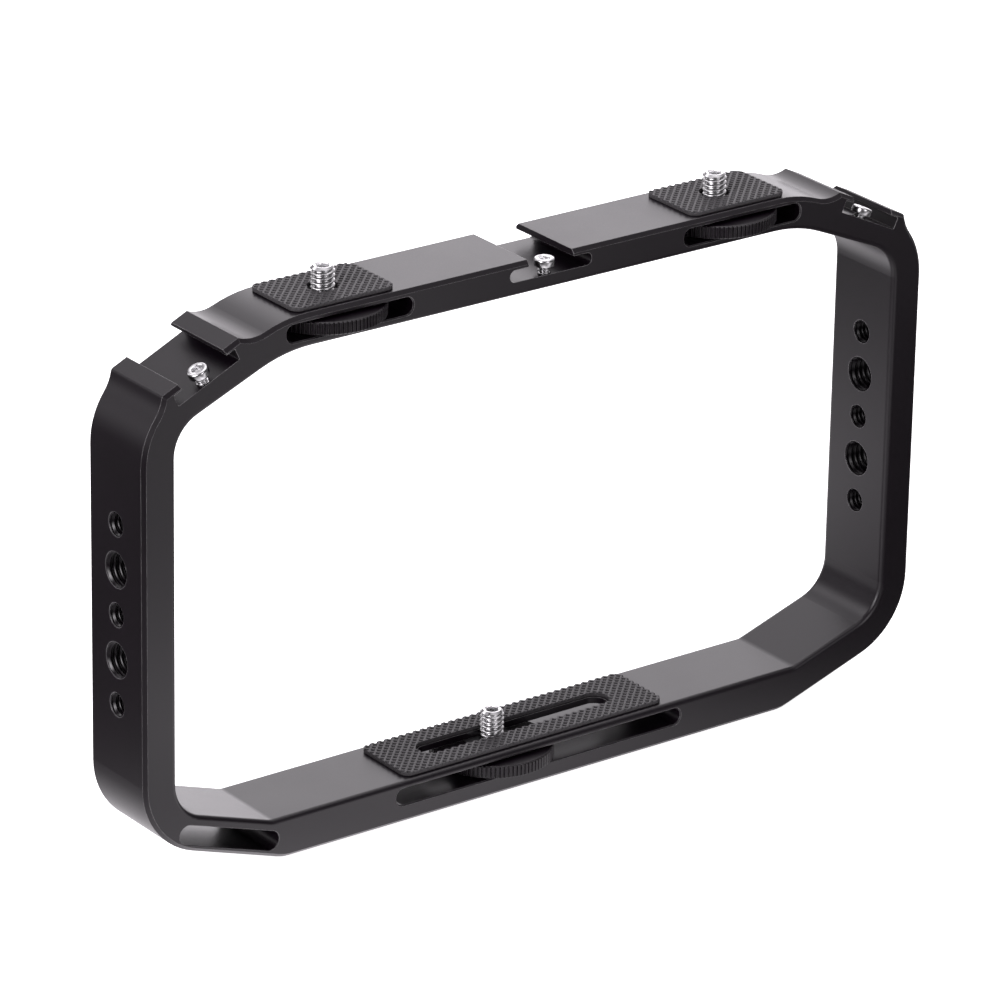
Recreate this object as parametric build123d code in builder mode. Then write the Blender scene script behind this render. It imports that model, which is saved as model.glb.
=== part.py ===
"""Camera cage: a closed aluminium loop with three accessory shoes along the top
and three captive thumbscrews, two in the top bar and one sliding in the bottom bar.

Millimetres. X runs along the bars, Y through the depth (front face at -Y), Z up.
The origin is the middle of the bottom face.
"""

import os
from math import cos, radians, sin, sqrt

from build123d import *

os.makedirs("parts", exist_ok=True)

# ---------------------------------------------------------------- loop profile
depth = 24.6                 # front face to back face
half_width = 123.7           # middle to outer side face
height = 146.8               # bottom face to top face
side_wall = 9.7              # thickness of the upright sides
bottom_bar = 11.4            # thickness of the bottom bar
top_bar = 8.8                # thickness of the top bar
outer_edge = 1.0             # chamfer along the outer outline, front and back
inner_edge = 1.3             # round along the inner outline, front and back

low_outer_x = 81.2           # where the bottom face turns into the sloping corner
low_outer_z = 14.3           # height where the sloping corner would meet the side
low_inner_x = 84.9
low_inner_z = 21.1
low_outer_round = 22.0
low_inner_round = 11.0
low_knee_round = 12.0
low_inner_knee_round = 4.0

high_inner_x = 81.2          # where the top bar's underside turns down
high_inner_z = 124.2
high_inner_round = 11.0
high_inner_knee_round = 40.0

shoulder_round = 21.0        # outer round at the top of the upright side
shoulder_z = 116.0
shoulder_angle = 36.5

dip_x = 91.0                 # shallow valley between top face and corner shoe
dip_z = 143.65
dip_round = 10.0
crown_round = 36.0

# ---------------------------------------------------------------- shoes
shoe_tilt = 25.0             # corner shoes lean outward
corner_floor_x = 104.2       # middle of the corner shoe's floor
corner_floor_z = 135.0
corner_channel = 19.8        # undercut width
corner_channel_h = 3.35
corner_channel_round = 0.3
corner_mouth = 14.6          # gap between the lips
corner_lip_top = 4.65        # lip top above the floor
crest_low = 12.4             # lip crests, measured along the shoe from its middle
crest_high = 12.3
crest_round = 1.25           # outer lip crest

centre_channel = 25.8
centre_floor_z = 141.8
centre_channel_h = 3.3
centre_mouth = 14.2
centre_channel_round = 1.6

# ---------------------------------------------------------------- windows and slots
top_screw_x = 62.0           # thumbscrews in the top bar
window_l = 38.2
window_floor = 140.1
window_h = 4.65
window_corner = 2.1
low_window_l = 92.4
low_window_floor = 5.0
low_window_h = 4.6
screw_hole_d = 7.0
low_slot_l = 60.4            # overall length of the bottom screw's slot
low_slot_w = 6.8
strap_l = 31.6               # strap slot in one sloping lower corner
strap_w = 5.3
strap_x = -98.1
strap_z = 10.25
strap_angle = -18.4

# ---------------------------------------------------------------- tapped side holes
hole_mid_z = 73.5
hole_pitch = 12.19
small_hole_d = 6.35          # quarter-inch thread
large_hole_d = 9.525         # three-eighths thread
hole_edge = 0.12

# ---------------------------------------------------------------- thumbscrews
stud_d = 6.35                # free end, above the pad
stud_fast_d = 5.52           # end held in the wheel, at the thread's mean diameter
stud_free_l = 5.3
stud_l = 12.7
stud_tip = 0.7
stud_socket_af = 3.175
stud_socket_depth = 3.2
wheel_d = 32.8
wheel_t = 3.5
wheel_lift = 0.5             # under the wheel, to the window floor
wheel_edge = 0.5             # broken rim edge, inward and along the rim
wheel_edge_h = 0.3
rib_count = 88
rib_depth = 0.42             # grooves across the rim
rib_gap = 0.68
rib_floor = 0.12
washer_d = 14.0
washer_bore = 6.5
washer_t = 0.5
bottom_screw_x = -7.0        # where the sliding screw stands at rest

# ---------------------------------------------------------------- pads
pad_l = 30.8
pad_w = 20.5
low_pad_l = 84.2
right_pad_shift = 0.5        # the top right pad sits a little outward of its hole
pad_corner = 2.6
pad_t = 1.0
adhesive_t = 0.15
pad_hole_d = 8.0
pad_slot_l = 61.4
pad_slot_w = 7.3

# ---------------------------------------------------------------- shoe stop screws
stop_y = -10.0
stop_x = -0.5                # along the left and middle shoes, from their middle
stop_x_right = -1.2
stop_head_d = 5.5
stop_head_h = 2.0
stop_head_round = 0.6
stop_shank_d = 3.5
stop_bore_d = 3.6
stop_shank_l = 4.0
stop_socket_af = 2.78
stop_socket_depth = 1.1
stop_hole_depth = 4.3        # blind tapped hole in the corner shoes
stop_hole_centre = 3.0       # the middle shoe's floor is thinner
stop_lift_left = 2.1         # head underside above the shoe floor
stop_lift_centre = 1.9
stop_lift_right = 1.0

half = depth / 2
tilt = radians(shoe_tilt)


def on_shoe(along, up):
    """Point of the right corner shoe: along from its middle inward, up from its floor."""
    return (
        corner_floor_x - along * cos(tilt) + up * sin(tilt),
        corner_floor_z + along * sin(tilt) + up * cos(tilt),
    )


def shoe_plane(side, y=0.0):
    """Section plane of a corner shoe, x along its floor and y out of it."""
    return Plane(
        origin=(side * corner_floor_x, y, corner_floor_z),
        x_dir=(cos(tilt), 0, -side * sin(tilt)),
        z_dir=(0, -1, 0),
    )


def stop_plane(side, lift):
    """Seat of a corner stop screw, z out of the shoe floor."""
    nx, nz = side * sin(tilt), cos(tilt)
    along = stop_x_right if side > 0 else stop_x
    px = side * corner_floor_x + along * cos(tilt)
    pz = corner_floor_z - side * along * sin(tilt)
    return Plane(
        origin=(px + nx * lift, stop_y, pz + nz * lift),
        x_dir=(0, 1, 0),
        z_dir=(nx, 0, nz),
    )


# key points of the right half of the outer outline
shoulder_mid_x = half_width - shoulder_round
shoulder_end = (
    shoulder_mid_x + shoulder_round * cos(radians(shoulder_angle)),
    shoulder_z + shoulder_round * sin(radians(shoulder_angle)),
)
low_crest = on_shoe(-crest_low, corner_lip_top)
high_crest = on_shoe(crest_high, corner_lip_top)
dip_mid_z = dip_z + dip_round
crown_mid_z = height - crown_round
crown_mid_x = dip_x - sqrt((dip_round + crown_round) ** 2 - (dip_mid_z - crown_mid_z) ** 2)
share = dip_round / (dip_round + crown_round)
sway = (dip_x + (crown_mid_x - dip_x) * share, dip_mid_z + (crown_mid_z - dip_mid_z) * share)
dip_start = (high_crest[0], dip_mid_z - sqrt(dip_round**2 - (high_crest[0] - dip_x) ** 2))


def at(points, x, z, reach=0.6):
    """Sketch vertices near a point, on both halves."""
    return [v for v in points if abs(abs(v.X) - x) < reach and abs(v.Y - z) < reach]


# ================================================================ frame
with BuildPart() as cage_frame:
    # solid outline of the loop
    with BuildSketch(Plane.XZ) as outline:
        with BuildLine():
            for s in (1, -1):
                Line((0, 0), (s * low_outer_x, 0))
                Line((s * low_outer_x, 0), (s * half_width, low_outer_z))
                Line((s * half_width, low_outer_z), (s * half_width, shoulder_z))
                ThreePointArc(
                    (s * half_width, shoulder_z),
                    (
                        s * (shoulder_mid_x + shoulder_round * cos(radians(shoulder_angle / 2))),
                        shoulder_z + shoulder_round * sin(radians(shoulder_angle / 2)),
                    ),
                    (s * shoulder_end[0], shoulder_end[1]),
                )
                TangentArc(
                    (s * shoulder_end[0], shoulder_end[1]),
                    (s * low_crest[0], low_crest[1]),
                    tangent=(-s * sin(radians(shoulder_angle)), cos(radians(shoulder_angle))),
                )
                Line((s * low_crest[0], low_crest[1]), (s * dip_start[0], dip_start[1]))
                ThreePointArc(
                    (s * dip_start[0], dip_start[1]),
                    (s * dip_x, dip_z),
                    (s * sway[0], sway[1]),
                )
                TangentArc(
                    (s * crown_mid_x, height),
                    (s * sway[0], sway[1]),
                    tangent=(s, 0),
                )
                Line((s * crown_mid_x, height), (0, height))
        make_face()
        fillet(at(outline.vertices(), low_outer_x, 0), low_knee_round)
        fillet(at(outline.vertices(), half_width, low_outer_z), low_outer_round)
        fillet(at(outline.vertices(), *low_crest), crest_round)
    extrude(amount=half, both=True)
    chamfer(cage_frame.faces().filter_by(Axis.Y).edges(), outer_edge)

    # the space inside the loop
    with BuildSketch(Plane.XZ) as inside:
        with BuildLine():
            for s in (1, -1):
                Line((0, bottom_bar), (s * low_inner_x, bottom_bar))
                Line((s * low_inner_x, bottom_bar), (s * (half_width - side_wall), low_inner_z))
                Line(
                    (s * (half_width - side_wall), low_inner_z),
                    (s * (half_width - side_wall), high_inner_z),
                )
                Line(
                    (s * (half_width - side_wall), high_inner_z),
                    (s * high_inner_x, height - top_bar),
                )
                Line((s * high_inner_x, height - top_bar), (0, height - top_bar))
        make_face()
        fillet(at(inside.vertices(), low_inner_x, bottom_bar), low_inner_knee_round)
        fillet(at(inside.vertices(), half_width - side_wall, low_inner_z), low_inner_round)
        fillet(at(inside.vertices(), half_width - side_wall, high_inner_z), high_inner_round)
        fillet(at(inside.vertices(), high_inner_x, height - top_bar), high_inner_knee_round)
    extrude(amount=half, both=True, mode=Mode.SUBTRACT)
    rims = [
        e
        for f in cage_frame.faces().filter_by(Axis.Y)
        for w in f.inner_wires()
        for e in w.edges()
    ]
    fillet(rims, inner_edge)

    # corner shoes
    for side in (1, -1):
        with BuildSketch(shoe_plane(side)):
            with Locations((0, corner_channel_h / 2)):
                RectangleRounded(corner_channel, corner_channel_h, corner_channel_round)
            with Locations((0, 6.0)):
                Rectangle(corner_mouth, 9.0)
        extrude(amount=half + 1, both=True, mode=Mode.SUBTRACT)

    # centre shoe
    with BuildSketch(Plane.XZ):
        with Locations((0, centre_floor_z + centre_channel_h / 2)):
            RectangleRounded(centre_channel, centre_channel_h, centre_channel_round)
        with Locations((0, centre_floor_z + 5.5)):
            Rectangle(centre_mouth, 7.0)
    extrude(amount=half + 1, both=True, mode=Mode.SUBTRACT)

    # wheel windows and the strap slot
    with BuildSketch(Plane.XZ):
        with Locations(
            (-top_screw_x, window_floor + window_h / 2), (top_screw_x, window_floor + window_h / 2)
        ):
            RectangleRounded(window_l, window_h, window_corner)
        with Locations((0, low_window_floor + low_window_h / 2)):
            RectangleRounded(low_window_l, low_window_h, window_corner)
        with Locations(Location((strap_x, strap_z, 0), (0, 0, strap_angle))):
            SlotOverall(strap_l, strap_w)
    extrude(amount=half + 1, both=True, mode=Mode.SUBTRACT)
    for low, high, edge_break in ((-70, 70, 0.3), (-140, -80, 0.12)):
        mouths = [
            e
            for f in cage_frame.faces().filter_by(Axis.Y)
            for w in f.inner_wires()
            if w.length < 300 and low < w.center(CenterOf.BOUNDING_BOX).X < high
            for e in w.edges()
        ]
        chamfer(mouths, edge_break)

    # screw holes through the top wall, slot through the bottom bar's upper wall
    with BuildSketch(Plane.XY.offset(height + 1)):
        with Locations((-top_screw_x, 0), (top_screw_x, 0)):
            Circle(screw_hole_d / 2)
    extrude(amount=-(height + 1 - window_floor - window_h / 2), mode=Mode.SUBTRACT)
    with BuildSketch(Plane.XY.offset(bottom_bar + 1)):
        SlotOverall(low_slot_l, low_slot_w)
    extrude(amount=-(bottom_bar + 1 - low_window_floor - low_window_h / 2), mode=Mode.SUBTRACT)

    # tapped holes through both sides
    for side in (1, -1):
        face_x = side * half_width
        with BuildSketch(Plane(origin=(face_x + side, 0, hole_mid_z), x_dir=(0, 1, 0), z_dir=(side, 0, 0))):
            with Locations((0, -2 * hole_pitch), (0, 0), (0, 2 * hole_pitch)):
                Circle(small_hole_d / 2)
            with Locations((0, -hole_pitch), (0, hole_pitch)):
                Circle(large_hole_d / 2)
        extrude(amount=-(side_wall + 3), mode=Mode.SUBTRACT)
    mouths = [
        e
        for e in cage_frame.edges().filter_by(GeomType.CIRCLE)
        if abs(e.arc_center.Y) < 0.01
        and abs(abs(e.arc_center.X) - half_width + side_wall / 2) < side_wall / 2 + 0.01
        and abs(e.arc_center.Z - hole_mid_z) < 3 * hole_pitch
    ]
    chamfer(mouths, hole_edge)

    # tapped holes for the stop screws
    with BuildSketch(Plane.XY.offset(centre_floor_z)):
        with Locations((stop_x, stop_y)):
            Circle(stop_bore_d / 2)
    extrude(amount=-stop_hole_centre, mode=Mode.SUBTRACT)
    for side in (1, -1):
        with BuildSketch(stop_plane(side, 0)):
            Circle(stop_bore_d / 2)
        extrude(amount=-stop_hole_depth, mode=Mode.SUBTRACT)
cage_frame.part.label = "cage_frame"
export_step(cage_frame.part, "parts/cage_frame.step")

# ================================================================ rubber pads and their adhesive
top_adhesive_z = height
top_pad_z = height + adhesive_t
low_adhesive_z = bottom_bar
low_pad_z = bottom_bar + adhesive_t

with BuildPart() as top_left_pad_adhesive:
    with BuildSketch(Plane((-top_screw_x, 0, top_adhesive_z))):
        RectangleRounded(pad_l - 0.4, pad_w - 0.4, pad_corner - 0.2)
        Circle(pad_hole_d / 2 + 0.2, mode=Mode.SUBTRACT)
    extrude(amount=adhesive_t)
top_left_pad_adhesive.part.label = "top_left_pad_adhesive"
export_step(top_left_pad_adhesive.part, "parts/top_left_pad_adhesive.step")

with BuildPart() as top_right_pad_adhesive:
    with BuildSketch(Plane((top_screw_x, 0, top_adhesive_z))):
        with Locations((right_pad_shift, 0)):
            RectangleRounded(pad_l - 0.4, pad_w - 0.4, pad_corner - 0.2)
        Circle(pad_hole_d / 2 + 0.2, mode=Mode.SUBTRACT)
    extrude(amount=adhesive_t)
top_right_pad_adhesive.part.label = "top_right_pad_adhesive"
export_step(top_right_pad_adhesive.part, "parts/top_right_pad_adhesive.step")

with BuildPart() as bottom_pad_adhesive:
    with BuildSketch(Plane((0, 0, low_adhesive_z))):
        RectangleRounded(low_pad_l - 0.4, pad_w - 0.4, pad_corner - 0.2)
        SlotOverall(pad_slot_l + 0.4, pad_slot_w + 0.4, mode=Mode.SUBTRACT)
    extrude(amount=adhesive_t)
bottom_pad_adhesive.part.label = "bottom_pad_adhesive"
export_step(bottom_pad_adhesive.part, "parts/bottom_pad_adhesive.step")

with BuildPart() as top_left_pad:
    with BuildSketch(Plane((-top_screw_x, 0, top_pad_z))):
        RectangleRounded(pad_l, pad_w, pad_corner)
        Circle(pad_hole_d / 2, mode=Mode.SUBTRACT)
    extrude(amount=pad_t)
    chamfer(top_left_pad.faces().sort_by(Axis.Z)[-1].outer_wire().edges(), 0.25)
top_left_pad.part.label = "top_left_pad"
export_step(top_left_pad.part, "parts/top_left_pad.step")

with BuildPart() as top_right_pad:
    with BuildSketch(Plane((top_screw_x, 0, top_pad_z))):
        with Locations((right_pad_shift, 0)):
            RectangleRounded(pad_l, pad_w, pad_corner)
        Circle(pad_hole_d / 2, mode=Mode.SUBTRACT)
    extrude(amount=pad_t)
    chamfer(top_right_pad.faces().sort_by(Axis.Z)[-1].outer_wire().edges(), 0.25)
top_right_pad.part.label = "top_right_pad"
export_step(top_right_pad.part, "parts/top_right_pad.step")

with BuildPart() as bottom_pad:
    with BuildSketch(Plane((0, 0, low_pad_z))):
        RectangleRounded(low_pad_l, pad_w, pad_corner)
        SlotOverall(pad_slot_l, pad_slot_w, mode=Mode.SUBTRACT)
    extrude(amount=pad_t)
    chamfer(bottom_pad.faces().sort_by(Axis.Z)[-1].outer_wire().edges(), 0.25)
bottom_pad.part.label = "bottom_pad"
export_step(bottom_pad.part, "parts/bottom_pad.step")

# ================================================================ thumbscrews
# each is a socket set screw fixed in a knurled wheel, with a washer on the wheel
top_wheel_z = window_floor + wheel_lift
low_wheel_z = low_window_floor + wheel_lift


def stud(x, z):
    """Socket set screw, socket end up, lower end flush with the wheel."""
    with BuildPart() as body:
        with BuildSketch(Plane((x, 0, z))):
            Circle(stud_fast_d / 2)
        extrude(amount=stud_l - stud_free_l)
        with BuildSketch(Plane((x, 0, z + stud_l - stud_free_l))):
            Circle(stud_d / 2)
        extrude(amount=stud_free_l)
        chamfer(body.edges().filter_by(GeomType.CIRCLE).sort_by(Axis.Z)[-1], stud_tip)
        with BuildSketch(Plane((x, 0, z + stud_l))):
            RegularPolygon(stud_socket_af / 2, 6, major_radius=False)
        extrude(amount=-stud_socket_depth, mode=Mode.SUBTRACT)
    return body


def wheel(x, z):
    """Knurled wheel, ribs across the rim, both rim edges broken."""
    with BuildPart() as body:
        with BuildSketch(Plane((x, 0, z))):
            Circle(wheel_d / 2)
            with PolarLocations(wheel_d / 2, rib_count):
                Polygon(
                    (0.1, -rib_gap / 2),
                    (0.1, rib_gap / 2),
                    (-rib_depth, rib_floor / 2),
                    (-rib_depth, -rib_floor / 2),
                    align=None,
                    mode=Mode.SUBTRACT,
                )
            Circle(stud_fast_d / 2, mode=Mode.SUBTRACT)
        extrude(amount=wheel_t)
        with BuildSketch(Plane((x, 0, z), x_dir=(1, 0, 0), z_dir=(0, -1, 0))):
            with BuildLine():
                Polyline(
                    (0, 0),
                    (wheel_d / 2 - wheel_edge, 0),
                    (wheel_d / 2, wheel_edge_h),
                    (wheel_d / 2 + 0.05, wheel_edge_h),
                    (wheel_d / 2 + 0.05, wheel_t - wheel_edge_h),
                    (wheel_d / 2, wheel_t - wheel_edge_h),
                    (wheel_d / 2 - wheel_edge, wheel_t),
                    (0, wheel_t),
                    close=True,
                )
            make_face()
        revolve(axis=Axis((x, 0, z), (0, 0, 1)), mode=Mode.INTERSECT)
    return body


def washer(x, z):
    """Flat washer between the wheel and the wall above it."""
    with BuildPart() as body:
        with BuildSketch(Plane((x, 0, z))):
            Circle(washer_d / 2)
            Circle(washer_bore / 2, mode=Mode.SUBTRACT)
        extrude(amount=washer_t)
    return body


top_left_stud = stud(-top_screw_x, top_wheel_z)
top_left_stud.part.label = "top_left_stud"
export_step(top_left_stud.part, "parts/top_left_stud.step")

top_right_stud = stud(top_screw_x, top_wheel_z)
top_right_stud.part.label = "top_right_stud"
export_step(top_right_stud.part, "parts/top_right_stud.step")

bottom_stud = stud(bottom_screw_x, low_wheel_z)
bottom_stud.part.label = "bottom_stud"
export_step(bottom_stud.part, "parts/bottom_stud.step")

top_left_wheel = wheel(-top_screw_x, top_wheel_z)
top_left_wheel.part.label = "top_left_wheel"
export_step(top_left_wheel.part, "parts/top_left_wheel.step")

top_right_wheel = wheel(top_screw_x, top_wheel_z)
top_right_wheel.part.label = "top_right_wheel"
export_step(top_right_wheel.part, "parts/top_right_wheel.step")

bottom_wheel = wheel(bottom_screw_x, low_wheel_z)
bottom_wheel.part.label = "bottom_wheel"
export_step(bottom_wheel.part, "parts/bottom_wheel.step")

top_left_washer = washer(-top_screw_x, top_wheel_z + wheel_t)
top_left_washer.part.label = "top_left_washer"
export_step(top_left_washer.part, "parts/top_left_washer.step")

top_right_washer = washer(top_screw_x, top_wheel_z + wheel_t)
top_right_washer.part.label = "top_right_washer"
export_step(top_right_washer.part, "parts/top_right_washer.step")

bottom_washer = washer(bottom_screw_x, low_wheel_z + wheel_t)
bottom_washer.part.label = "bottom_washer"
export_step(bottom_washer.part, "parts/bottom_washer.step")


# ================================================================ shoe stop screws
def stop_screw(seat):
    """Low-head socket screw; the seat plane is the underside of its head."""
    with BuildPart() as body:
        with BuildSketch(seat):
            Circle(stop_head_d / 2)
        extrude(amount=stop_head_h)
        with BuildSketch(seat):
            Circle(stop_shank_d / 2)
        extrude(amount=-stop_shank_l)
        rings = body.edges().filter_by(GeomType.CIRCLE).sort_by(Axis(seat.origin, seat.z_dir))
        fillet(rings[-1], stop_head_round)
        chamfer(rings[0], 0.35)
        with BuildSketch(seat.offset(stop_head_h)):
            RegularPolygon(stop_socket_af / 2, 6, major_radius=False)
        extrude(amount=-stop_socket_depth, mode=Mode.SUBTRACT)
    return body


left_shoe_stop_screw = stop_screw(stop_plane(-1, stop_lift_left))
left_shoe_stop_screw.part.label = "left_shoe_stop_screw"
export_step(left_shoe_stop_screw.part, "parts/left_shoe_stop_screw.step")

centre_shoe_stop_screw = stop_screw(
    Plane((stop_x, stop_y, centre_floor_z + stop_lift_centre), x_dir=(0, 1, 0), z_dir=(0, 0, 1))
)
centre_shoe_stop_screw.part.label = "centre_shoe_stop_screw"
export_step(centre_shoe_stop_screw.part, "parts/centre_shoe_stop_screw.step")

right_shoe_stop_screw = stop_screw(stop_plane(1, stop_lift_right))
right_shoe_stop_screw.part.label = "right_shoe_stop_screw"
export_step(right_shoe_stop_screw.part, "parts/right_shoe_stop_screw.step")
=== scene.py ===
import math

import bmesh
import bpy
from mathutils import Matrix, Vector


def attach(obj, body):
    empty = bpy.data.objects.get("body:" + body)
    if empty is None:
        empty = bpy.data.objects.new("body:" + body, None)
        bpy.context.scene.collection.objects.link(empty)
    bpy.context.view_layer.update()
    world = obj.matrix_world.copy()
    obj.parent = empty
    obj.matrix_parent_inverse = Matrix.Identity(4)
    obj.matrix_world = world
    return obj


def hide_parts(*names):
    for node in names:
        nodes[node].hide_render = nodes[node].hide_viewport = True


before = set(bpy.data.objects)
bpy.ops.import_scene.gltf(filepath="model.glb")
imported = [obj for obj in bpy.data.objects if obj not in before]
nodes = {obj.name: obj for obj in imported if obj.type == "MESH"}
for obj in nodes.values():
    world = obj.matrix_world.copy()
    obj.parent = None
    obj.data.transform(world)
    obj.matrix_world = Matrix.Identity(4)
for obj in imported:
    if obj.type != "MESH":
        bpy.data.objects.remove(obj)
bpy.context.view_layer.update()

MM = 0.001
TAU = 2 * math.pi
scene = bpy.context.scene


# ---------------------------------------------------------------- mesh helpers
def new_piece(name, verts, faces, material, sharp_deg=35.0, merge=2e-7):
    """Closed mesh object from points in metres, normals outward, edges over sharp_deg kept crisp."""
    me = bpy.data.meshes.new(name)
    bm = bmesh.new()
    vs = [bm.verts.new(v) for v in verts]
    for f in faces:
        seen = []
        for i in f:
            if i not in seen:
                seen.append(i)
        if len(seen) > 2:
            try:
                bm.faces.new([vs[i] for i in seen])
            except ValueError:
                pass
    bmesh.ops.remove_doubles(bm, verts=bm.verts, dist=merge)
    bmesh.ops.dissolve_degenerate(bm, edges=bm.edges, dist=merge)
    loose = [v for v in bm.verts if not v.link_faces]
    bmesh.ops.delete(bm, geom=loose, context="VERTS")
    finish_mesh(bm, me, sharp_deg)
    ob = bpy.data.objects.new(name, me)
    scene.collection.objects.link(ob)
    me.materials.append(material)
    return ob


def finish_mesh(bm, me, sharp_deg):
    bmesh.ops.recalc_face_normals(bm, faces=bm.faces)
    limit = math.radians(sharp_deg)
    for f in bm.faces:
        f.smooth = True
    for e in bm.edges:
        e.smooth = not (len(e.link_faces) != 2 or e.calc_face_angle(0.0) > limit)
    bm.to_mesh(me)
    bm.free()
    me.update()


def placed(points, origin, x_dir, y_dir, z_dir):
    """Points in mm of a local frame, in metres of the row frame."""
    o, a, b, c = Vector(origin), Vector(x_dir), Vector(y_dir), Vector(z_dir)
    return [(o + a * p[0] + b * p[1] + c * p[2]) * MM for p in points]


# one pitch of a thread: share of the pitch, share of the thread's depth
THREAD = [
    (0.0, 0.0), (0.055, 0.0), (0.09, 0.06), (0.17, 0.3), (0.27, 0.62), (0.36, 0.91), (0.42, 1.0),
    (0.5, 1.0), (0.58, 1.0), (0.64, 0.91), (0.73, 0.62), (0.83, 0.3), (0.91, 0.06), (0.945, 0.0),
]


# rolled thread of the plated screws, round at crest and root
ROLLED = [(i / 14, 0.5 - 0.5 * math.cos(TAU * i / 14)) for i in range(14)]


def thread_depth(phase, profile):
    phase %= 1.0
    pts = profile + [(1.0, 0.0)]
    for (t0, d0), (t1, d1) in zip(pts, pts[1:]):
        if phase <= t1:
            return d0 + (d1 - d0) * (phase - t0) / (t1 - t0)
    return 0.0


def thread_skin(z_lo, z_hi, pitch, crest, root, n, limit, profile):
    """Right-hand helical skin between two levels. Returns points, faces and the two end rings."""
    m = len(profile)
    turns = math.ceil((z_hi - z_lo) / pitch) + 2
    rows = turns * m
    z0 = z_lo - pitch
    pts, faces = [], []
    for j in range(n):
        th = TAU * j / n
        for i in range(rows + 1):
            z = z0 + pitch * (i // m + profile[i % m][0]) + pitch * j / n
            z = min(max(z, z_lo), z_hi)
            r = crest + (root - crest) * thread_depth((z - z0) / pitch - j / n, profile)
            r = limit(r, z)
            pts.append((r * math.cos(th), r * math.sin(th), z))

    def at(j, i):
        return j * (rows + 1) + i

    for j in range(n - 1):
        for i in range(rows):
            faces.append((at(j, i), at(j + 1, i), at(j + 1, i + 1), at(j, i + 1)))
    for i in range(rows - m):
        faces.append((at(n - 1, i), at(0, i + m), at(0, i + m + 1), at(n - 1, i + 1)))
    return pts, faces, [at(j, 0) for j in range(n)], [at(j, rows) for j in range(n)]


def add_rings(pts, faces, ring, rings, n, close=True):
    """Continues from an end ring through more rings, each a function of the angle giving (r, z)."""
    prev = ring
    for make in rings:
        cur = []
        for j in range(n):
            th = TAU * j / n
            r, z = make(th)
            pts.append((r * math.cos(th), r * math.sin(th), z))
            cur.append(len(pts) - 1)
        for j in range(n):
            k = (j + 1) % n
            faces.append((prev[j], prev[k], cur[k], cur[j]))
        prev = cur
    if close:
        faces.append(tuple(prev))
    return prev


def hex_r(th, across_flats):
    return across_flats / 2 / math.cos((th % (math.pi / 3)) - math.pi / 6)


# ---------------------------------------------------------------- materials
def material(name, base, rough, metallic=0.0, specular=0.5):
    m = bpy.data.materials.new(name)
    m.use_nodes = True
    nt = m.node_tree
    b = nt.nodes["Principled BSDF"]
    b.inputs["Base Color"].default_value = (*base, 1.0)
    b.inputs["Roughness"].default_value = rough
    b.inputs["Metallic"].default_value = metallic
    b.inputs["Specular IOR Level"].default_value = specular
    return m, nt, b


def noise(nt, scale, detail=3.0, rough=0.55, vector=None):
    n = nt.nodes.new("ShaderNodeTexNoise")
    n.inputs["Scale"].default_value = scale
    n.inputs["Detail"].default_value = detail
    n.inputs["Roughness"].default_value = rough
    if vector is None:
        vector = nt.nodes.new("ShaderNodeTexCoord").outputs["Object"]
    nt.links.new(vector, n.inputs["Vector"])
    return n.outputs["Fac"]


def spread(nt, fac, lo, hi, low=0.3, high=0.7):
    """Maps a noise value to a range."""
    r = nt.nodes.new("ShaderNodeMapRange")
    r.inputs["From Min"].default_value = low
    r.inputs["From Max"].default_value = high
    r.inputs["To Min"].default_value = lo
    r.inputs["To Max"].default_value = hi
    nt.links.new(fac, r.inputs["Value"])
    return r.outputs["Result"]


def bump(nt, height, strength, distance, normal=None):
    b = nt.nodes.new("ShaderNodeBump")
    b.inputs["Strength"].default_value = strength
    b.inputs["Distance"].default_value = distance
    nt.links.new(height, b.inputs["Height"])
    if normal is not None:
        nt.links.new(normal, b.inputs["Normal"])
    return b.outputs["Normal"]


def calc(nt, op, a, b=None):
    n = nt.nodes.new("ShaderNodeMath")
    n.operation = op
    for sock, v in zip(n.inputs, (a, b)):
        if v is None:
            continue
        if isinstance(v, (int, float)):
            sock.default_value = v
        else:
            nt.links.new(v, sock)
    return n.outputs[0]


def mix_colour(nt, fac, a, b):
    m = nt.nodes.new("ShaderNodeMix")
    m.data_type = "RGBA"
    nt.links.new(fac, m.inputs["Factor"])
    for sock, v in ((m.inputs[6], a), (m.inputs[7], b)):
        if isinstance(v, tuple):
            sock.default_value = (*v, 1.0)
        else:
            nt.links.new(v, sock)
    return m.outputs[2]


def edge_mask(nt, radius, gain):
    """1 along outer edges, where the pale edge colour (wear and painted highlight) goes, 0 on flats."""
    bev = nt.nodes.new("ShaderNodeBevel")
    bev.samples = 6
    bev.inputs["Radius"].default_value = radius
    geo = nt.nodes.new("ShaderNodeNewGeometry")
    dot = nt.nodes.new("ShaderNodeVectorMath")
    dot.operation = "DOT_PRODUCT"
    nt.links.new(bev.outputs["Normal"], dot.inputs[0])
    nt.links.new(geo.outputs["Normal"], dot.inputs[1])
    r = nt.nodes.new("ShaderNodeMapRange")
    r.inputs["From Min"].default_value = 1.0
    r.inputs["From Max"].default_value = 1.0 - 1.0 / gain
    nt.links.new(dot.outputs["Value"], r.inputs["Value"])
    return r.outputs["Result"], bev.outputs["Normal"]


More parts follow.
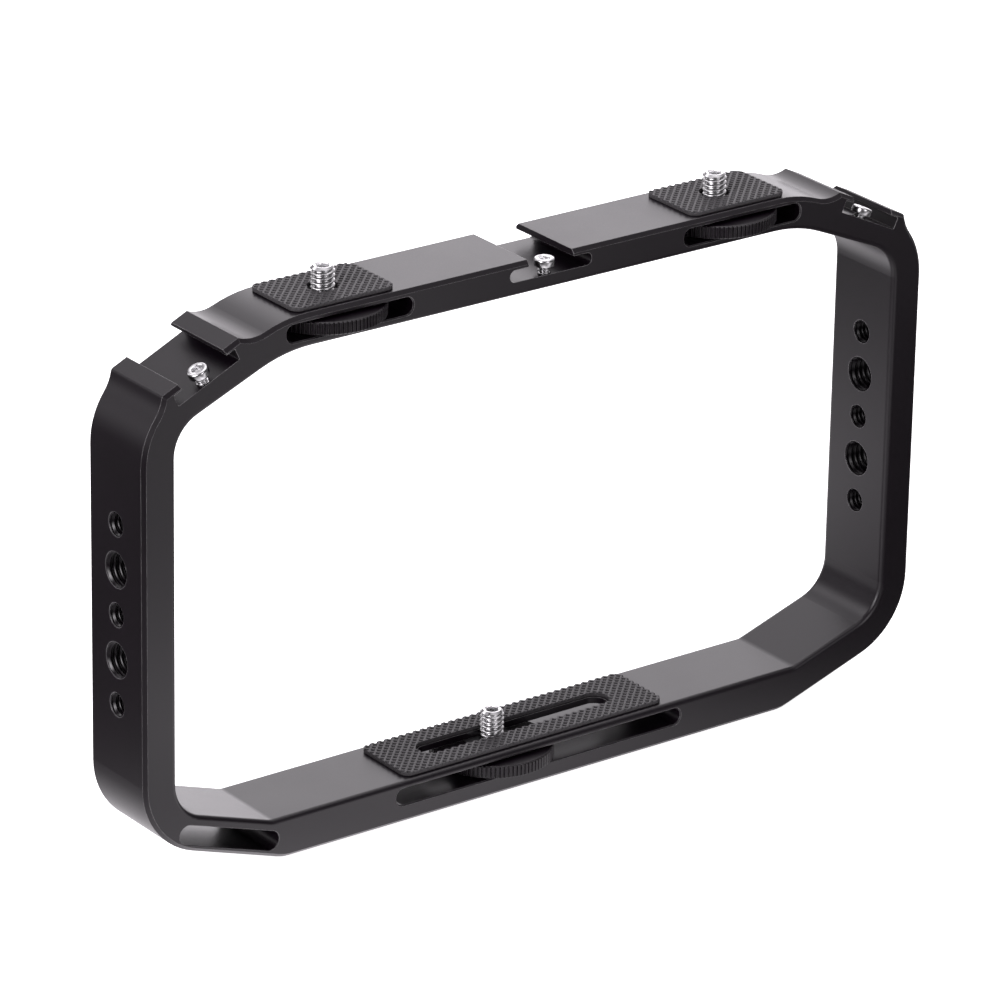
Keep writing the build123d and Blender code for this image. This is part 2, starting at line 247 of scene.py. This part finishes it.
def anodised(name, base, wear_and_highlight, rough, specular, grain):
    """Bead-blasted, dyed anodic film: fine grain, slightly uneven sheen, paler along the edges as wear and painted
    edge highlight.
    """
    m, nt, b = material(name, base, rough, specular=specular)
    edge, round_normal = edge_mask(nt, 0.0002, 7.0)
    fine = noise(nt, 5200.0, 2.0, 0.6)
    cloud = noise(nt, 60.0, 3.0, 0.5)
    highlight_wear_patches = spread(nt, noise(nt, 260.0, 4.0, 0.6), 0.35, 1.0)
    dark = mix_colour(nt, cloud, tuple(c * 0.8 for c in base), tuple(c * 1.2 for c in base))
    # pale edge colour laid on in patches: edge wear and painted edge highlight
    nt.links.new(mix_colour(nt, calc(nt, "MULTIPLY", edge, highlight_wear_patches), dark, wear_and_highlight), b.inputs["Base Color"])
    add = nt.nodes.new("ShaderNodeMath")
    add.operation = "ADD"
    nt.links.new(spread(nt, fine, rough - 0.035, rough + 0.035), add.inputs[0])
    nt.links.new(spread(nt, cloud, -0.012, 0.012), add.inputs[1])
    nt.links.new(add.outputs[0], b.inputs["Roughness"])
    nt.links.new(bump(nt, fine, grain, 0.00002, round_normal), b.inputs["Normal"])
    return m


def rubber(name):
    m, nt, b = material(name, (0.062, 0.059, 0.0625), 0.5, specular=0.28)
    fine = noise(nt, 6500.0, 3.0, 0.65)
    cloud = noise(nt, 140.0, 3.0, 0.55)
    dust = noise(nt, 1900.0, 2.0, 0.5)
    body = mix_colour(nt, cloud, (0.042, 0.0399, 0.0424), (0.0575, 0.0546, 0.058))
    nt.links.new(mix_colour(nt, spread(nt, dust, 0.0, 0.5, 0.68, 0.8), body, (0.13, 0.126, 0.13)), b.inputs["Base Color"])
    nt.links.new(spread(nt, fine, 0.44, 0.58), b.inputs["Roughness"])
    nt.links.new(bump(nt, fine, 0.12, 0.00003), b.inputs["Normal"])
    return m


def plated(name):
    """Bright plated steel with fine turning marks."""
    m, nt, b = material(name, (0.66, 0.66, 0.67), 0.24, metallic=1.0)
    fine = noise(nt, 3800.0, 2.0, 0.5)
    cloud = noise(nt, 420.0, 3.0, 0.6)
    nt.links.new(mix_colour(nt, cloud, (0.555, 0.555, 0.565), (0.69, 0.69, 0.69)), b.inputs["Base Color"])
    nt.links.new(spread(nt, cloud, 0.17, 0.26), b.inputs["Roughness"])
    nt.links.new(bump(nt, fine, 0.06, 0.00003), b.inputs["Normal"])
    return m


def film(name):
    m, nt, b = material(name, (0.02, 0.02, 0.02), 0.6, specular=0.3)
    fine = noise(nt, 2500.0, 3.0, 0.6)
    nt.links.new(mix_colour(nt, fine, (0.014, 0.014, 0.014), (0.03, 0.03, 0.03)), b.inputs["Base Color"])
    nt.links.new(spread(nt, fine, 0.5, 0.7), b.inputs["Roughness"])
    return m


def nylon(name):
    m, nt, b = material(name, (0.02, 0.02, 0.021), 0.45, specular=0.4)
    fine = noise(nt, 3000.0, 3.0, 0.6)
    nt.links.new(mix_colour(nt, fine, (0.015, 0.015, 0.016), (0.028, 0.028, 0.03)), b.inputs["Base Color"])
    nt.links.new(spread(nt, fine, 0.38, 0.52), b.inputs["Roughness"])
    nt.links.new(bump(nt, fine, 0.08, 0.00002), b.inputs["Normal"])
    return m


mat_frame = anodised("anodised_frame", (0.0029, 0.0009, 0.003), (0.3, 0.294, 0.3), 0.33, 0.5, 0.10)
mat_wheel = anodised("anodised_wheel", (0.0031, 0.001, 0.0032), (0.075, 0.073, 0.075), 0.36, 0.32, 0.12)
mat_thread = anodised("anodised_thread", (0.0022, 0.0008, 0.0023), (0.012, 0.011, 0.012), 0.2, 0.5, 0.08)
# darker, less glossy copy of the thread finish for the right side's holes: painted shade
mat_thread_shaded = anodised("anodised_thread_painted_shade", (0.0016, 0.0008, 0.0017), (0.008, 0.0075, 0.008), 0.2, 0.14, 0.08)
mat_pad = rubber("rubber_pad")
mat_steel = plated("bright_steel")
mat_film = film("adhesive_film")
mat_nylon = nylon("black_nylon")

for name, ob in nodes.items():
    if name.endswith("wheel"):
        mat = mat_wheel
    elif name.endswith("washer"):
        mat = mat_nylon
    elif name.endswith("adhesive"):
        mat = mat_film
    else:
        mat = mat_frame
    ob.data.materials.clear()
    ob.data.materials.append(mat)


# ---------------------------------------------------------------- mounting studs
STUD_R, STUD_ROOT, STUD_PITCH = 3.175, 2.5, 1.27
HEX_STUD = 3.175


def stud(name, node, body, x, z_lo, wheel_top):
    """Quarter-inch 20 socket set screw, socket end up; its lower end is fast in the wheel."""
    n = 72
    z_hi = z_lo + 12.7

    def limit(r, z):
        r = min(r, 2.38 + (z_hi - z) * 1.15)          # tip chamfer
        if z < wheel_top + 0.05:
            r = min(r, 2.72)                            # inside the wheel's bore
        return r

    pts, faces, low, top = thread_skin(z_lo, z_hi, STUD_PITCH, STUD_R, STUD_ROOT, n, limit, ROLLED)
    add_rings(pts, faces, top, [
        lambda th: (2.2, z_hi + 0.0),
        lambda th: (1.98, z_hi - 0.02),
        lambda th: (hex_r(th, HEX_STUD) + 0.02, z_hi - 0.16),
        lambda th: (hex_r(th, HEX_STUD), z_hi - 0.22),
        lambda th: (hex_r(th, HEX_STUD), z_hi - 3.1),
        lambda th: (1.45, z_hi - 3.2),
        lambda th: (0.25, z_hi - 3.75),
    ], n)
    add_rings(pts, faces, low, [lambda th: (2.1, z_lo), lambda th: (0.4, z_lo)], n)
    ob = new_piece(name, placed(pts, (x, 0, 0), (1, 0, 0), (0, 1, 0), (0, 0, 1)), faces, mat_steel, 40.0)
    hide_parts(node)
    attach(ob, body)
    return ob


stud("top_left_stud_threaded", "top_left_stud", "top_left_screw", -62.0, 140.6, 144.1)
stud("top_right_stud_threaded", "top_right_stud", "top_right_screw", 62.0, 140.6, 144.1)
stud("bottom_stud_threaded", "bottom_stud", "bottom_screw", -7.0, 5.5, 9.0)


# ---------------------------------------------------------------- shoe stop screws
SHOE_TILT = math.radians(25.0)
STOP_R, STOP_ROOT, STOP_PITCH = 1.75, 1.34, 0.794
HEX_STOP = 2.78


def stop_screw(name, node, body, side, along, lift):
    """Low-head socket screw, the underside of its head lift above the shoe floor."""
    n = 60
    if side == 0:
        base, axis, across = Vector((along, -10.0, 141.8)), Vector((0, 0, 1)), Vector((1, 0, 0))
    else:
        axis = Vector((side * math.sin(SHOE_TILT), 0, math.cos(SHOE_TILT)))
        across = Vector((math.cos(SHOE_TILT), 0, -side * math.sin(SHOE_TILT)))
        base = Vector((side * 104.2, -10.0, 135.0)) + across * along
    seat = base + axis * lift

    def limit(r, z):
        return min(r, 1.42 + (z + 4.0) * 1.0)

    pts, faces, low, top = thread_skin(-4.0, -0.12, STOP_PITCH, STOP_R, STOP_ROOT, n, limit, ROLLED)
    add_rings(pts, faces, top, [
        lambda th: (1.9, 0.0),
        lambda th: (2.55, 0.0),
        lambda th: (2.68, 0.04),
        lambda th: (2.75, 0.14),
        lambda th: (2.75, 1.40),
        lambda th: (2.704, 1.63),
        lambda th: (2.574, 1.824),
        lambda th: (2.38, 1.954),
        lambda th: (2.15, 2.0),
        lambda th: (1.86, 2.0),
        lambda th: (1.80, 1.98),
        lambda th: (hex_r(th, HEX_STOP) + 0.02, 1.88),
        lambda th: (hex_r(th, HEX_STOP), 1.84),
        lambda th: (hex_r(th, HEX_STOP), 1.2),
        lambda th: (1.3, 1.16),
        lambda th: (0.2, 1.08),
    ], n)
    add_rings(pts, faces, low, [lambda th: (1.0, -4.0), lambda th: (0.2, -4.0)], n)
    ob = new_piece(name, placed(pts, seat, across, axis.cross(across), axis), faces, mat_steel, 40.0)
    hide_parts(node)
    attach(ob, body)
    return ob


stop_screw("left_stop_screw_threaded", "left_shoe_stop_screw", "left_stop", -1, -0.5, 2.1)
stop_screw("centre_stop_screw_threaded", "centre_shoe_stop_screw", "centre_stop", 0, -0.5, 1.9)
stop_screw("right_stop_screw_threaded", "right_shoe_stop_screw", "right_stop", 1, -1.2, 1.0)


# ---------------------------------------------------------------- tapped side holes
def side_threads(name, side, mat):
    """The threads cut in one side's five holes, as thin sleeves against the plain bores."""
    all_pts, all_faces = [], []
    for k in range(-2, 3):
        big = k % 2 != 0
        crest, root, pitch = (3.98, 4.73, 1.5875) if big else (2.52, 3.145, 1.27)
        bore = 4.7625 if big else 3.175
        n = 84 if big else 60
        lo, hi = 0.14, 9.56

        def limit(r, z):
            return max(r, crest + max(0.0, 0.55 - (z - lo), 0.55 - (hi - z)) * 1.1)

        pts, faces, low, top = thread_skin(lo, hi, pitch, crest, root, n, lambda r, z: min(limit(r, z), root), THREAD)
        back = add_rings(pts, faces, top, [
            lambda th: (bore + 0.25, hi),
            lambda th: (bore + 0.25, lo),
        ], n, close=False)
        for j in range(n):
            j2 = (j + 1) % n
            faces.append((back[j], back[j2], low[j2], low[j]))
        start = len(all_pts)
        all_pts += placed(pts, (side * 114.0, 0, 73.5 + k * 12.19), (0, side, 0), (0, 0, 1), (side, 0, 0))
        all_faces += [tuple(i + start for i in f) for f in faces]
    ob = new_piece(name, all_pts, all_faces, mat, 40.0)
    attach(ob, "cage")
    return ob


side_threads("left_side_threads", -1, mat_thread)
# the right side's holes take the darker copy of the thread finish: painted shade
side_threads("right_side_threads", 1, mat_thread_shaded)


# ---------------------------------------------------------------- rubber pads
def rounded_outline(cx, length, width, corner, n):
    pts = []
    for qx, qy, a0 in ((1, 1, 0), (-1, 1, 90), (-1, -1, 180), (1, -1, 270)):
        for i in range(n + 1):
            a = math.radians(a0 + 90.0 * i / n)
            pts.append((cx + qx * (length / 2 - corner) + corner * math.cos(a),
                        qy * (width / 2 - corner) + corner * math.sin(a)))
    return pts


def prism(name, outline, z_lo, z_hi):
    n = len(outline)
    me = bpy.data.meshes.new(name)
    verts = [(x * MM, y * MM, z_lo * MM) for x, y in outline] + [(x * MM, y * MM, z_hi * MM) for x, y in outline]
    faces = [tuple(range(n))[::-1], tuple(range(n, 2 * n))]
    faces += [(i, (i + 1) % n, n + (i + 1) % n, n + i) for i in range(n)]
    me.from_pydata(verts, [], faces)
    me.update()
    ob = bpy.data.objects.new(name, me)
    scene.collection.objects.link(ob)
    return ob


def relief_block(name, cx, length, width, z_lo, z_rib, z_cell, grid_u, grid_v, rib, floor):
    """Slab whose top is a net of round-shouldered ribs turned 45 degrees, with tapered square cells between."""
    s = math.sqrt(0.5)
    pitch_u, phase_u = grid_u
    pitch_v, phase_v = grid_v
    half_u, half_v = (pitch_u - rib) / 2, (pitch_v - rib) / 2
    verts, faces, cells = [], [], {}
    reach_u = (abs(cx) + length / 2 + width / 2) * s + 4
    count = int(reach_u / min(pitch_u, pitch_v)) + 2

    def put(u, v, z):
        verts.append(((u + v) * s * MM, (u - v) * s * MM, z * MM))
        return len(verts) - 1

    for i in range(-count, count + 1):
        for j in range(-count, count + 1):
            u, v = phase_u + (i + 0.5) * pitch_u, phase_v + (j + 0.5) * pitch_v
            x, y = (u + v) * s, (u - v) * s
            if abs(x - cx) > length / 2 + 2.4 or abs(y) > width / 2 + 2.4:
                continue
            rings = []
            for inset, z in ((0.0, z_rib), (0.1, z_rib - 0.03), (0.18, z_rib - 0.1), (None, z_cell)):
                au, av = (floor, floor) if inset is None else (half_u - inset, half_v - inset)
                rings.append([put(u + a * au, v + b * av, z) for a, b in ((-1, -1), (1, -1), (1, 1), (-1, 1))])
            cells[i, j] = rings[0]
            faces.append(tuple(rings[-1]))
            for upper, lower in zip(rings, rings[1:]):
                for k in range(4):
                    faces.append((upper[k], upper[(k + 1) % 4], lower[(k + 1) % 4], lower[k]))
    for (i, j), a in list(cells.items()):
        b, c, d = cells.get((i + 1, j)), cells.get((i, j + 1)), cells.get((i + 1, j + 1))
        if b:
            faces.append((a[1], b[0], b[3], a[2]))
        if c:
            faces.append((a[3], a[2], c[1], c[0]))
        if b and c and d:
            faces.append((a[2], b[3], d[0], c[1]))
    me = bpy.data.meshes.new(name)
    bm = bmesh.new()
    vs = [bm.verts.new(v) for v in verts]
    for f in faces:
        bm.faces.new([vs[i] for i in f])
    bmesh.ops.remove_doubles(bm, verts=bm.verts, dist=1e-8)
    rim = [e for e in bm.edges if len(e.link_faces) == 1]
    got = bmesh.ops.extrude_edge_only(bm, edges=rim)["geom"]
    for v in got:
        if isinstance(v, bmesh.types.BMVert):
            v.co.z = z_lo * MM
    low = [e for e in bm.edges if len(e.link_faces) == 1]
    bmesh.ops.triangle_fill(bm, edges=low, use_beauty=True)
    bmesh.ops.recalc_face_normals(bm, faces=bm.faces)
    bm.to_mesh(me)
    bm.free()
    ob = bpy.data.objects.new(name, me)
    scene.collection.objects.link(ob)
    return ob


def boolean(target, cutter, operation):
    mod = target.modifiers.new("cut", "BOOLEAN")
    mod.operation = operation
    mod.solver = "EXACT"
    mod.object = cutter
    dg = bpy.context.evaluated_depsgraph_get()
    me = bpy.data.meshes.new_from_object(target.evaluated_get(dg))
    target.modifiers.clear()
    old = target.data
    target.data = me
    bpy.data.meshes.remove(old)


def pad(name, node, cx, hole_x, length, width, z_lo, grid_u, grid_v, slot_l, slot_w):
    z_top = z_lo + 1.0
    block = relief_block(name, cx, length, width, z_lo, z_top, z_top - 0.42, grid_u, grid_v, 0.24, 0.4)
    outer = prism("pad_outline", rounded_outline(cx, length, width, 2.6, 10), z_lo - 1.0 + 1.0, z_lo + 3.0)
    inner = prism("pad_opening", rounded_outline(hole_x, slot_l, slot_w, slot_w / 2 - 0.001, 14), z_lo - 2.0, z_lo + 4.0)
    boolean(block, outer, "INTERSECT")
    boolean(block, inner, "DIFFERENCE")
    for cutter in (outer, inner):
        me = cutter.data
        bpy.data.objects.remove(cutter)
        bpy.data.meshes.remove(me)
    bm = bmesh.new()
    bm.from_mesh(block.data)
    bmesh.ops.remove_doubles(bm, verts=bm.verts, dist=3e-7)
    bmesh.ops.dissolve_degenerate(bm, edges=bm.edges, dist=3e-7)
    finish_mesh(bm, block.data, 28.0)
    block.data.materials.clear()
    block.data.materials.append(mat_pad)
    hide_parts(node)
    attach(block, "cage")
    return block


pad("top_left_pad_ribbed", "top_left_pad", -62.0, -62.0, 30.8, 20.5, 146.95, (1.622, 1.238), (1.642, 0.109), 8.0, 8.0)
pad("top_right_pad_ribbed", "top_right_pad", 62.5, 62.0, 30.8, 20.5, 146.95, (1.625, 0.694), (1.634, 0.853), 8.0, 8.0)
pad("bottom_pad_ribbed", "bottom_pad", 0.0, 0.0, 84.2, 20.5, 11.55, (1.628, 1.191), (1.614, 1.399), 61.4, 7.3)


# ---------------------------------------------------------------- floor, light, camera
def floor_plane():
    me = bpy.data.meshes.new("floor")
    s = 6.0
    me.from_pydata([(-s, -s, -0.0001), (s, -s, -0.0001), (s, s, -0.0001), (-s, s, -0.0001)], [], [(0, 1, 2, 3)])
    ob = bpy.data.objects.new("floor", me)
    scene.collection.objects.link(ob)
    m = bpy.data.materials.new("floor")
    m.use_nodes = True
    b = m.node_tree.nodes["Principled BSDF"]
    b.inputs["Base Color"].default_value = (0.9, 0.9, 0.9, 1)
    b.inputs["Roughness"].default_value = 0.9
    b.inputs["Specular IOR Level"].default_value = 0.1
    b.inputs["Emission Color"].default_value = (1, 1, 1, 1)
    b.inputs["Emission Strength"].default_value = 0.95
    m.cycles.emission_sampling = "NONE"
    me.materials.append(m)
    ob.visible_glossy = False
    ob.visible_shadow = False
    return ob


floor_plane()


def backdrop():
    """Pale dome behind the table, for the low views."""
    me = bpy.data.meshes.new("backdrop")
    bm = bmesh.new()
    bmesh.ops.create_uvsphere(bm, u_segments=48, v_segments=24, radius=5.5)
    bmesh.ops.reverse_faces(bm, faces=bm.faces)
    for f in bm.faces:
        f.smooth = True
    bm.to_mesh(me)
    bm.free()
    ob = bpy.data.objects.new("backdrop", me)
    scene.collection.objects.link(ob)
    m = bpy.data.materials.new("backdrop")
    m.use_nodes = True
    nt = m.node_tree
    nt.nodes.clear()
    out = nt.nodes.new("ShaderNodeOutputMaterial")
    em = nt.nodes.new("ShaderNodeEmission")
    em.inputs["Color"].default_value = (0.93, 0.93, 0.93, 1)
    nt.links.new(em.outputs[0], out.inputs["Surface"])
    m.cycles.emission_sampling = "NONE"
    me.materials.append(m)
    ob.visible_diffuse = False
    ob.visible_glossy = False
    ob.visible_shadow = False
    ob.visible_transmission = False
    return ob


backdrop()


# pools of light on the table top that the satin faces mirror:
# centre x, y, half widths, turn, brightness (mm, degrees)
POOL_BASE = 0.048
POOLS = [
    (-88.2, 16.1, 71.1, 34.3, 56.4, 1.484),
    (93.1, -255.7, 47.2, 166.8, 33.9, 1.109),
    (68.8, 132.5, 70.5, 42.3, -34.5, 1.337),
    (239.5, 403.9, 37.3, 155.4, -30.6, 4.000),
    (23.8, 322.3, 109.6, 299.3, 64.0, 0.530),
    (-47.9, -97.4, 34.0, 97.2, -49.2, 1.223),
    (212.2, -543.7, 399.5, 137.2, 0.6, 0.802),
    (-270.1, -38.8, 65.0, 168.3, 46.5, 0.338),
    (-41.0, -2.1, 25.0, 65.4, 52.7, 0.476),
    (121.1, 13.3, 77.0, 25.0, 4.5, 0.400),
    (231.4, 57.4, 56.6, 47.3, -68.3, 0.803),
]


def glow_card():
    """Lit table top as the reflections see it; the camera sees the plain floor."""
    me = bpy.data.meshes.new("glow_card")
    r = 0.9
    me.from_pydata([(-r, -r, -0.0002), (r, -r, -0.0002), (r, r, -0.0002), (-r, r, -0.0002)], [], [(0, 1, 2, 3)])
    ob = bpy.data.objects.new("glow_card", me)
    scene.collection.objects.link(ob)
    m = bpy.data.materials.new("glow_card")
    m.use_nodes = True
    nt = m.node_tree
    nt.nodes.clear()
    out = nt.nodes.new("ShaderNodeOutputMaterial")
    em = nt.nodes.new("ShaderNodeEmission")
    nt.links.new(em.outputs[0], out.inputs["Surface"])
    spot = nt.nodes.new("ShaderNodeTexCoord").outputs["Object"]
    total = None
    for cx, cy, sx, sy, turn, amount in POOLS:
        mp = nt.nodes.new("ShaderNodeMapping")
        mp.vector_type = "TEXTURE"
        mp.inputs["Location"].default_value = (cx * MM, cy * MM, 0)
        mp.inputs["Rotation"].default_value = (0, 0, math.radians(turn))
        mp.inputs["Scale"].default_value = (sx * MM, sy * MM, 1)
        nt.links.new(spot, mp.inputs["Vector"])
        ln = nt.nodes.new("ShaderNodeVectorMath")
        ln.operation = "LENGTH"
        nt.links.new(mp.outputs["Vector"], ln.inputs[0])
        sq = calc(nt, "MULTIPLY", ln.outputs["Value"], ln.outputs["Value"])
        g = calc(nt, "MULTIPLY", calc(nt, "EXPONENT", calc(nt, "MULTIPLY", sq, -0.5)), amount)
        total = g if total is None else calc(nt, "ADD", total, g)
    em.inputs["Color"].default_value = (1.0, 0.96, 1.005, 1)
    nt.links.new(calc(nt, "ADD", total, POOL_BASE), em.inputs["Strength"])
    m.cycles.emission_sampling = "NONE"
    me.materials.append(m)
    ob.visible_camera = False
    ob.visible_diffuse = False
    ob.visible_shadow = False
    ob.visible_transmission = False
    return ob


glow_card()

# soft boxes and backdrop around the table: azimuth from +X, elevation, tightness, brightness
SKY_BASE = 0.064
SKY = [
    (44.5, 6.4, 33.77, 2.692),
    (64.3, 22.5, 34.29, 2.390),
    (116.2, 8.8, 54.95, 1.824),
    (58.6, 71.6, 9.34, 2.375),
    (27.9, 19.8, 7.61, 0.514),
    (27.2, 65.2, 25.80, 0.841),
    (-6.8, 78.5, 14.36, 0.822),
    (116.7, 41.6, 60.00, 2.996),
    (188.0, 22.0, 25.0, 10.0),
    (273.0, 20.0, 40.0, 4.0),
]
world = bpy.data.worlds.new("studio")
scene.world = world
world.use_nodes = True
wt = world.node_tree
wt.nodes.clear()
w_out = wt.nodes.new("ShaderNodeOutputWorld")
w_bg = wt.nodes.new("ShaderNodeBackground")
wt.links.new(w_bg.outputs[0], w_out.inputs["Surface"])
toward = wt.nodes.new("ShaderNodeTexCoord").outputs["Generated"]
total = None
for a, e, tight, amount in SKY:
    a, e = math.radians(a), math.radians(e)
    dot = wt.nodes.new("ShaderNodeVectorMath")
    dot.operation = "DOT_PRODUCT"
    wt.links.new(toward, dot.inputs[0])
    dot.inputs[1].default_value = (math.cos(a) * math.cos(e), math.sin(a) * math.cos(e), math.sin(e))
    g = calc(wt, "EXPONENT", calc(wt, "MULTIPLY", calc(wt, "SUBTRACT", dot.outputs["Value"], 1.0), tight))
    g = calc(wt, "MULTIPLY", g, amount)
    total = g if total is None else calc(wt, "ADD", total, g)
w_bg.inputs["Color"].default_value = (1.0, 0.96, 1.005, 1)
wt.links.new(calc(wt, "ADD", total, SKY_BASE), w_bg.inputs["Strength"])

cam_data = bpy.data.cameras.new("camera")
cam = bpy.data.objects.new("camera", cam_data)
scene.collection.objects.link(cam)
scene.camera = cam
az, el, roll = math.radians(36.828), math.radians(22.486), math.radians(1.039)
back = Vector((-math.sin(az) * math.cos(el), -math.cos(az) * math.cos(el), math.sin(el)))
right = Vector((math.cos(az), -math.sin(az), 0))
up = back.cross(right)
right2 = right * math.cos(roll) + up * math.sin(roll)
up2 = up * math.cos(roll) - right * math.sin(roll)
where = Vector((-5.649, 0, 76.941)) * MM + back * 1.60914
cam.matrix_world = Matrix((
    (right2.x, up2.x, back.x, where.x),
    (right2.y, up2.y, back.y, where.y),
    (right2.z, up2.z, back.z, where.z),
    (0, 0, 0, 1),
))
cam_data.sensor_width = 36.0
cam_data.lens = 6.23727 * 36.0
cam_data.clip_start, cam_data.clip_end = 0.05, 50.0
scene.view_settings.view_transform = "Standard"
